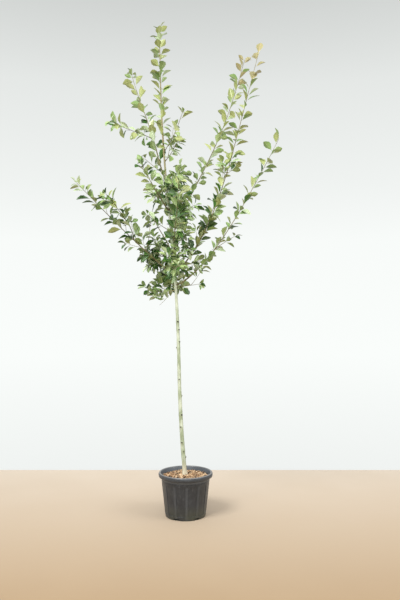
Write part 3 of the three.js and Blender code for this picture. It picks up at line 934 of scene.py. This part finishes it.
def knot_swell(z, bearing, places):
    """How far the knots push the bark out, most where a cut stands and a little all round"""
    swell = 0
    for knot_height, knot_bearing, size in places:
        rise = (z - knot_height) / (KNOT_REACH * size)
        if abs(rise) > 3:
            continue
        turn = (bearing - math.radians(knot_bearing) + math.pi) % math.tau - math.pi
        bump = KNOT_SWELL * math.exp(-rise * rise - (turn / KNOT_TURN) ** 2)
        swell += size * (bump + KNOT_RING * math.exp(-rise * rise))
    return swell


def make_trunk():
    shares = [(k / TRUNK_RINGS) ** 1.15 for k in range(TRUNK_RINGS + 1)]
    heights = [lerp(GROUND, TREE_TOP, share) for share in shares]
    mesh = wood_mesh("trunk", [[(trunk_middle(z), trunk_radius(z)) for z in heights]], 8)
    places = scar_places()
    for corner in mesh.vertices:
        z = corner.co.z
        out = corner.co - trunk_middle(z)
        out.z = 0
        if out.length < 0.0004:
            continue
        bearing = math.atan2(out.y, out.x)
        grow = 0.0009 * noise.noise(Vector((corner.co.x * 60, corner.co.y * 60, z * 12)))
        grow += 0.0004 * noise.noise(corner.co * 180)
        grow += knot_swell(z, bearing, places)
        if z < FOOT_RIB_TOP:
            fade = math.exp(-(z - GROUND) / FOOT_RIB_FADE)
            grow += FOOT_RIB_DEPTH * fade * math.sin(FOOT_RIBS * bearing + 1.3)
        shrink = min(1, trunk_radius(z) / 0.010)
        corner.co += out.normalized() * grow * shrink
    add_piece("trunk_bark", mesh, trunk_finish(), ["trunk", "foliage_leader"])


def scar_shape(seed):
    """An uneven oval with a low rolled rim and a sunk middle, its face to Z"""
    shape = bmesh.new()
    bmesh.ops.create_circle(shape, cap_ends=True, segments=16, radius=1)
    random = make_random(seed)
    for corner in shape.verts:
        corner.co *= lerp(0.82, 1.1, random())
        corner.co.z = -2
    made = bmesh.ops.inset_region(shape, faces=shape.faces, thickness=0.25, depth=2.3,
                                  use_boundary=True)
    inner = [face for face in shape.faces if face not in made["faces"]]
    bmesh.ops.inset_region(shape, faces=inner, thickness=0.2, depth=-0.4, use_boundary=True)
    return shape


def make_scars():
    """The healed ends of the knots and cut twigs"""
    stamps = [Stamp(scar_shape(seed)) for seed in (3, 4, 8)]
    settings = []
    for i, (z, bearing, size) in enumerate(scar_places()):
        turn = math.radians(bearing)
        out = Vector((math.cos(turn), math.sin(turn), 0.12)).normalized()
        side = Vector((-math.sin(turn), math.cos(turn), 0))
        root = trunk_middle(z) + out * (trunk_radius(z) + SCAR_LIFT * size)
        radius = SCAR_RADIUS * size
        up = out.cross(side)
        settings.append((i % 3, root, side, up, out, radius, radius * 0.85, SCAR_DEPTH))
    mesh = stamped_mesh("scars", stamps, settings)
    finish = wood_finish("healed bark", paint(34, 30, 22), paint(74, 68, 50))
    add_piece("pruning_scars", mesh, finish, ["trunk"])


# The leaves

@dataclass
class Habit:
    """How leaves stand on a kind of stem: metres between sites, shares of sites with a
    pair or a cluster, degrees off the stem, how they droop, how young they look, how broad"""

    pitch: float
    pairs: float
    spurs: float
    slant: tuple
    droop: float
    youth: float
    broad: float


HABITS = {
    "tall": Habit(0.052, 0.9, 0.35, (24, 50), 0.15, 1.4, 1.08),
    "shoot": Habit(0.048, 0.65, 0.32, (26, 54), 0.4, 1.05, 1.0),
    "fork": Habit(0.046, 0.55, 0.3, (28, 58), 0.5, 1.05, 0.9),
    "small": Habit(0.040, 0.4, 0.15, (28, 56), 0.4, 2.9, 1),
    "leader": Habit(0.056, 0.9, 0.45, (20, 44), 0.05, 1.6, 1.22),
    "inner": Habit(0.029, 0.5, 0.35, (36, 70), 0.8, 1.15, 0.9),
}

# The blade: its stalk's share and half width, its own half width and how its teeth jut
STALK = 0.15
STALK_HALF = 0.012
BLADE_HALF = 0.255
TOOTH_OUT = 1.05
TOOTH_IN = 0.93
LEAF_ROWS = 10

# Folded along the middle, arched along its length and curled aside
LEAF_FORMS = [(0.42, 0.2, 0.1), (0.28, 0.34, -0.15), (0.6, 0.1, 0.2)]


def leaf_shape(fold, arch, curl):
    """A toothed leaf on its stalk, of length 1 along Y, its upper face to Z"""
    leaf = bmesh.new()
    bmesh.ops.create_grid(leaf, x_segments=4, y_segments=LEAF_ROWS, size=1)
    layer = leaf.loops.layers.uv.new("leaf")
    for face in leaf.faces:
        for loop in face.loops:
            loop[layer].uv = ((loop.vert.co.x + 1) / 2, (loop.vert.co.y + 1) / 2)
    for corner in leaf.verts:
        aside = corner.co.x
        row = round((corner.co.y + 1) * LEAF_ROWS / 2)
        blade = max(0, (row - 1) / (LEAF_ROWS - 1))
        along = 0 if row == 0 else lerp(STALK, 1, blade)
        half = STALK_HALF
        if row > 1:
            half = BLADE_HALF * math.sin(math.pi * blade ** 1.25) ** 0.9 + 0.004
        if abs(aside) > 0.9 and 1 < row < LEAF_ROWS:
            half *= TOOTH_OUT if row % 2 else TOOTH_IN
        reach = aside * half
        lift = fold * abs(reach) - arch * along * along + curl * reach * along
        corner.co = (reach, along - 0.1 * arch * along, lift)
    bmesh.ops.remove_doubles(leaf, verts=leaf.verts, dist=0.001)
    bmesh.ops.recalc_face_normals(leaf, faces=leaf.faces)
    return leaf


def within_reach(tip):
    """Whether a leaf's tip is above the crown's hem and inside the tree's own box"""
    low, high = solid_bounds
    aside = all(low[k] + EDGE_GAP < tip[k] < high[k] - EDGE_GAP for k in range(2))
    return aside and HEM < tip.z < high[2]


# Each colour of leaf: its dark tone, its light tone and its rib
LEAF_COLOURS = [
    ("leaves_deep", paint(24, 58, 11), paint(64, 108, 32), paint(114, 148, 76)),
    ("leaves_full", paint(86, 124, 52), paint(152, 176, 114), paint(180, 196, 138)),
    ("leaves_fresh", paint(98, 127, 56), paint(165, 182, 124), paint(194, 205, 154)),
    ("leaves_young", paint(113, 128, 60), paint(175, 182, 120), paint(206, 213, 156)),
    ("leaves_bronze", paint(122, 116, 74), paint(166, 160, 112), paint(184, 154, 120)),
    ("leaves_pale", paint(146, 166, 122), paint(184, 198, 158), paint(210, 218, 186)),
]

# Numbers of three of the colours, and where bronze and pale are picked
YOUNG = 3
BRONZE = 4
BRONZE_FROM = 3.02
BRONZE_SHARE = 0.86
PALE = 5
PALE_PICKS = (0.39, 0.53)
YOUTHFUL_HEIGHT = 2.0


def leaf_tone(kind, pick, share, height):
    """The number of a leaf's colour: deep low inside, young at the tips, some turned over"""
    at_tip = share > BRONZE_SHARE and pick > 2 * (1 - share)
    if kind == "tall" and height > BRONZE_FROM and at_tip:
        return BRONZE
    if PALE_PICKS[0] < pick < PALE_PICKS[1]:
        return PALE
    youth = HABITS[kind].youth
    youth += 0.8 * share + 0.8 * max(0, height - YOUTHFUL_HEIGHT) + 3.7 * (pick - 0.47)
    oldest_young = YOUNG - 1 if kind == "inner" else YOUNG
    return int(min(oldest_young, max(0, youth)))


class Crown:
    """The twigs, thorns and leaves as they grow"""

    def __init__(self):
        self.twigs = []
        self.thorns = []
        self.leaves = []

    def leaf(self, stem, share, roll, slant, size):
        line, random, habit = stem.line, stem.random, HABITS[stem.kind]
        heading = line.slanted(share, roll, slant)
        droop = lerp(0.05, 0.55, random()) * habit.droop
        heading = (heading + Vector((0, 0, -droop))).normalized()
        turn = math.radians(LEAF_ROLL * (random() - 0.5))
        face = Matrix.Rotation(turn, 3, heading) @ (line.heading(share) + Vector((0, 0, 0.5)))
        side = heading.cross(face).normalized()
        up = side.cross(heading)
        length = lerp(*LEAF_LENGTHS, random()) * size
        width = length * lerp(0.78, 1.02, random()) * habit.broad
        root = line.middle(share)
        tone = leaf_tone(stem.kind, random(), share, root.z)
        if within_reach(root + heading * length):
            self.leaves.append((tone, root, side, heading, up, width, length, length))

    def cluster(self, stem, share, roll, size):
        for k in range(CLUSTER_COUNT):
            slant = lerp(28, 75, stem.random())
            self.leaf(stem, share - 0.004 * k, roll + GOLDEN_TURN * k, slant, size)

    def thorn(self, stem, share, roll):
        way = stem.line.slanted(share, roll, THORN_SLANT)
        length = lerp(*THORN_LENGTHS, stem.random())
        root = stem.line.middle(share)
        bend = Vector((0, 0, -0.1))
        self.thorns.append([(root + (way + bend * s * s) * length * s, radius)
                            for s, radius in THORN_TAPER])

    def grow(self, stem):
        """Leaves, thorns and side twigs along a stem"""
        random, habit = stem.random, HABITS[stem.kind]
        room = (stem.end - stem.bare) * stem.line.size * stem.full
        steps = max(2, round(room / habit.pitch))
        first_roll = 360 * random()
        for i in range(1, steps + 1):
            share = lerp(stem.bare, stem.end, i / steps)
            roll = first_roll + GOLDEN_TURN * i + 30 * (random() - 0.5)
            slant = lerp(*habit.slant, random())
            gaps = stem.sparse * max(0, 1 - share / SPARSE_BELOW)
            if stem.order == 0 and random() < gaps:
                continue
            size = SHOOT_LEAF if stem.order == 0 else lerp(*TWIG_LEAVES, share)
            if stem.order == 0 and stem.kind != "leader":
                size *= lerp(stem.tip, 1, min(1, (stem.end - share) / TIP_ZONE))
            if i == steps:
                self.leaf(stem, share, roll, 10, size * END_LEAF)
                self.cluster(stem, share - 0.006, roll + 70, size * END_CLUSTER)
                continue
            chance = random()
            if stem.order < 2 and chance < stem.twigs * max(0, 1.25 - 1.5 * share):
                self.side_twig(stem, share, roll, slant)
            elif chance > 1 - habit.spurs:
                self.cluster(stem, share, roll, size * CLUSTER_LEAF)
            else:
                self.leaf(stem, share, roll, slant, size)
                if random() < habit.pairs:
                    self.leaf(stem, share + 0.004, roll + 150, slant, size * PAIR_LEAF)
            if stem.kind != "leader" and share < THORNS_UP_TO and random() < THORN_SHARE:
                self.thorn(stem, share, roll + 60)

    def side_twig(self, stem, share, roll, slant):
        random = stem.random
        length = lerp(*TWIG_LENGTHS, share) * lerp(0.6, 1.1, random())
        thick = lerp(*TWIG_RADII, share)
        if stem.order > 0:
            length *= 0.5
            thick *= 0.75
        way = stem.line.slanted(share, roll, slant)
        rise = Vector((0, 0, length * lerp(0.1, 0.35, random())))
        root = stem.line.middle(share)
        twig = Twig(root, root + way * length + rise, Vector((0, 0, -0.04 * length)))
        steps = [k / TWIG_STEPS for k in range(TWIG_STEPS + 1)]
        self.twigs.append([(twig.middle(s), lerp(thick, TWIG_TIP_RADIUS, s)) for s in steps])
        twigs = MORE_INNER_TWIGS if stem.kind == "inner" else MORE_TWIGS
        self.grow(Stem(twig, random, stem.kind, twigs, stem.full, 0.12, order=stem.order + 1))


def shoot_strand(stem):
    """A shoot's own wood, thicker where it leaves the trunk"""
    line = stem.line
    steps = max(12, round(line.size / 0.02))
    thick = BOUGH_RADIUS if stem.bare > 0.1 else SMALL_SHOOT_RADIUS
    strand = []
    for k in range(steps + 1):
        share = stem.end * k / steps
        radius = lerp(thick, SHOOT_TIP_RADIUS, (k / steps) ** 0.55)
        fade = math.exp(-max(0, share * line.size - COLLAR_REACH) / COLLAR_REACH)
        strand.append((line.middle(share), radius + COLLAR * fade * thick / BOUGH_RADIUS))
    return strand


def make_shoots(stems):
    strands = [shoot_strand(stem) for stem in stems if stem.kind != "leader"]
    mesh = wood_mesh("shoots", strands, 2)
    normals = [corner.normal.copy() for corner in mesh.vertices]
    for corner, normal in zip(mesh.vertices, normals):
        corner.co += normal * 0.0005 * noise.noise(corner.co * 90)
    add_piece("shoot_wood", mesh, twig_finish(), BOUGH_NODES + MASS_NODES)


def make_crown():
    stems = plan_crown()
    make_shoots(stems)
    crown = Crown()
    for stem in stems:
        crown.grow(replace(stem, bare=stem.bare + FIRST_LEAF))
    twigs = wood_mesh("twigs", crown.twigs, 1)
    finish = wood_finish("young twig bark", paint(90, 82, 48), paint(128, 122, 74))
    add_piece("side_twigs", twigs, finish, MASS_NODES)
    thorns = wood_mesh("thorns", crown.thorns, 1)
    finish = wood_finish("thorn", paint(58, 40, 30), paint(92, 66, 46))
    add_piece("thorns", thorns, finish, MASS_NODES)
    make_leaves(crown.leaves)


def make_leaves(leaves):
    stamps = [Stamp(leaf_shape(*form)) for form in LEAF_FORMS]
    settings = [[] for _ in LEAF_COLOURS]
    for i, (tone, *setting) in enumerate(leaves):
        settings[tone].append((i % 3, *setting))
    for (name, *tones), group in zip(LEAF_COLOURS, settings):
        mesh = stamped_mesh(name, stamps, group)
        add_piece(name, mesh, leaf_finish(name, *tones), MASS_NODES)


# The setting

# How light the studio's wall looks from its foot up, from 0 to 255
WALL_FOOT = 0.25
WALL_TONES = [(0.02, 240), (0.2, 250), (0.39, 248), (0.48, 240), (0.63, 229), (0.76, 205)]
ROOM_LIGHT = 0.75

# Each lamp's place, width and power; all are aimed at one height on the trunk
LAMPS = {
    "key light": ((-2.6, -3.4, 5.2), 2.4, 330),
    "side light": ((3.4, -1.6, 3.6), 2.4, 90),
    "front light": ((0.4, -5.0, 2.6), 2.8, 80),
}
LAMP_AIM = Vector((0, 0, 1.6))

# The floor ends where the wall of the photograph starts
FLOOR_HALF_WIDTH = 6
FLOOR_FRONT = -6
FLOOR_BACK = 1.33

CAMERA_PLACE = (0.1062, -4.36, 1.397)
CAMERA_TILT = 92.46
LENS = 34.98
SENSOR_HEIGHT = 36
SENSOR_WIDTH = 24


def make_floor():
    slab = bmesh.new()
    bmesh.ops.create_grid(slab, x_segments=2, y_segments=2, size=1)
    for corner in slab.verts:
        corner.co.x *= FLOOR_HALF_WIDTH
        corner.co.y = lerp(FLOOR_FRONT, FLOOR_BACK, (corner.co.y + 1) / 2)
    mesh = mesh_from(slab, "floor")
    mesh.materials.append(floor_finish().material)
    floor = bpy.data.objects.new("floor", mesh)
    scene.collection.objects.link(floor)


def make_room():
    """Even light all round, and a pale wall that only the camera sees"""
    world = bpy.data.worlds.new("studio")
    world.use_nodes = True
    scene.world = world
    nodes = world.node_tree.nodes
    link = world.node_tree.links.new
    light = nodes["Background"]
    light.inputs["Color"].default_value = (1, 1, 1, 1)
    light.inputs["Strength"].default_value = ROOM_LIGHT
    split = nodes.new("ShaderNodeSeparateXYZ")
    link(nodes.new("ShaderNodeTexCoord").outputs["Generated"], split.inputs["Vector"])
    above_foot = nodes.new("ShaderNodeMath")
    above_foot.inputs[1].default_value = WALL_FOOT
    link(split.outputs["Z"], above_foot.inputs[0])
    ramp = nodes.new("ShaderNodeValToRGB")
    link(above_foot.outputs["Value"], ramp.inputs["Fac"])
    stops = ramp.color_ramp.elements
    stops.remove(stops[1])
    stops[0].color = paint(235, 238, 238)
    for height, grey in WALL_TONES:
        stops.new(height).color = paint(grey, grey + 3, grey + 1)
    wall = nodes.new("ShaderNodeBackground")
    link(ramp.outputs["Color"], wall.inputs["Color"])
    both = nodes.new("ShaderNodeMixShader")
    link(nodes.new("ShaderNodeLightPath").outputs["Is Camera Ray"], both.inputs[0])
    link(light.outputs["Background"], both.inputs[1])
    link(wall.outputs["Background"], both.inputs[2])
    link(both.outputs["Shader"], nodes["World Output"].inputs["Surface"])


def make_lamps():
    for name, (place, size, power) in LAMPS.items():
        lamp = bpy.data.lights.new(name, "AREA")
        lamp.size = size
        lamp.energy = power
        carrier = bpy.data.objects.new(name, lamp)
        carrier.location = place
        aim = (LAMP_AIM - Vector(place)).to_track_quat("-Z", "Y")
        carrier.rotation_euler = aim.to_euler()
        scene.collection.objects.link(carrier)


def make_camera():
    view = bpy.data.cameras.new("camera")
    view.sensor_fit = "VERTICAL"
    view.sensor_height = SENSOR_HEIGHT
    view.sensor_width = SENSOR_WIDTH
    view.lens = LENS
    carrier = bpy.data.objects.new("camera", view)
    carrier.location = CAMERA_PLACE
    carrier.rotation_euler = (math.radians(CAMERA_TILT), 0, 0)
    scene.collection.objects.link(carrier)
    scene.camera = carrier
    scene.view_settings.view_transform = "Standard"


make_camera()
make_floor()
make_room()
make_lamps()
make_pot()
make_ground()
make_chips()
make_trunk()
make_scars()
make_crown()
